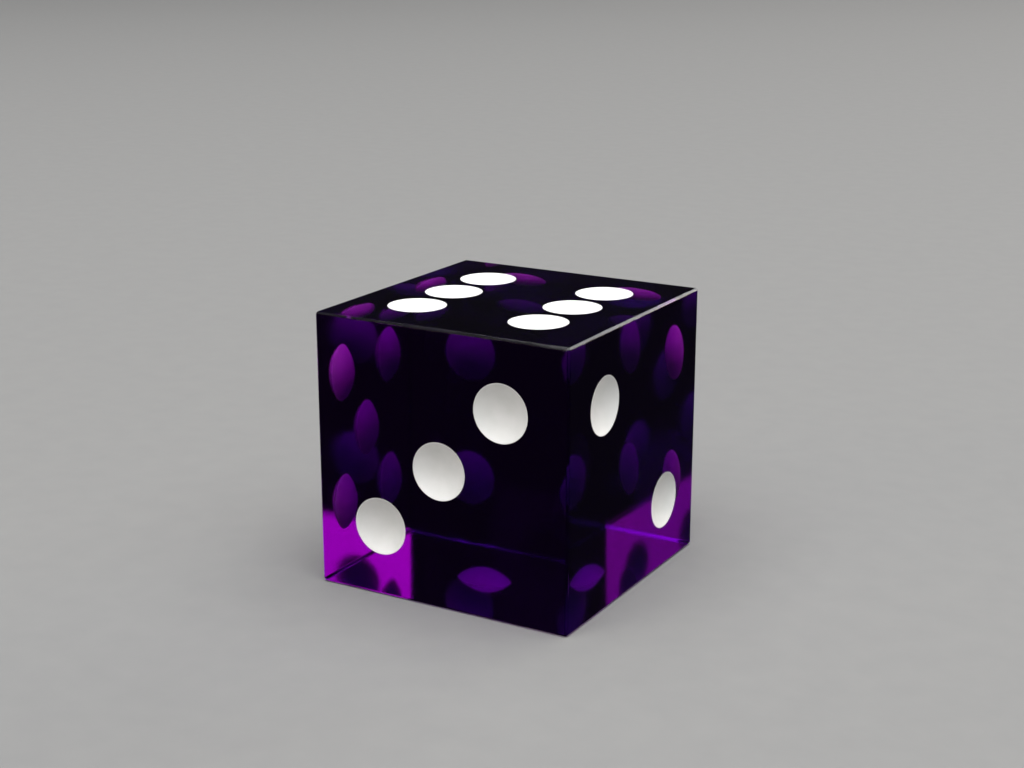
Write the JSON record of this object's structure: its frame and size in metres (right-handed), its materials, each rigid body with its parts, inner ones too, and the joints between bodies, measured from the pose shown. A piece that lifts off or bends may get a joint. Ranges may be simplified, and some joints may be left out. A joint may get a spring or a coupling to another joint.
{
  "type": "casino die",
  "caption": "Precision gaming die: a clear purple cube with dished white enamel pips set in round-bottomed pockets in its six faces.",
  "frame": {"origin": "centre of the face the die stands on, which is the one", "axes": "+Z through the six, +X through the two, -Y through the three, +Y through the four, -X through the five"},
  "size_m": [0.019, 0.019, 0.0191],
  "materials": {
    "clear_plastic": "polished, transparent purple cellulose acetate",
    "pip_enamel": "satin white enamel"
  },
  "bodies": {
    "root": {"die_body": "clear_plastic", "one_pip_1": "pip_enamel", "two_pip_1": "pip_enamel", "two_pip_2": "pip_enamel", "three_pip_1": "pip_enamel", "three_pip_2": "pip_enamel", "three_pip_3": "pip_enamel", "four_pip_1": "pip_enamel", "four_pip_2": "pip_enamel", "four_pip_3": "pip_enamel", "four_pip_4": "pip_enamel", "five_pip_1": "pip_enamel", "five_pip_2": "pip_enamel", "five_pip_3": "pip_enamel", "five_pip_4": "pip_enamel", "five_pip_5": "pip_enamel", "six_pip_1": "pip_enamel", "six_pip_2": "pip_enamel", "six_pip_3": "pip_enamel", "six_pip_4": "pip_enamel", "six_pip_5": "pip_enamel", "six_pip_6": "pip_enamel"}
  },
  "joints": []
}
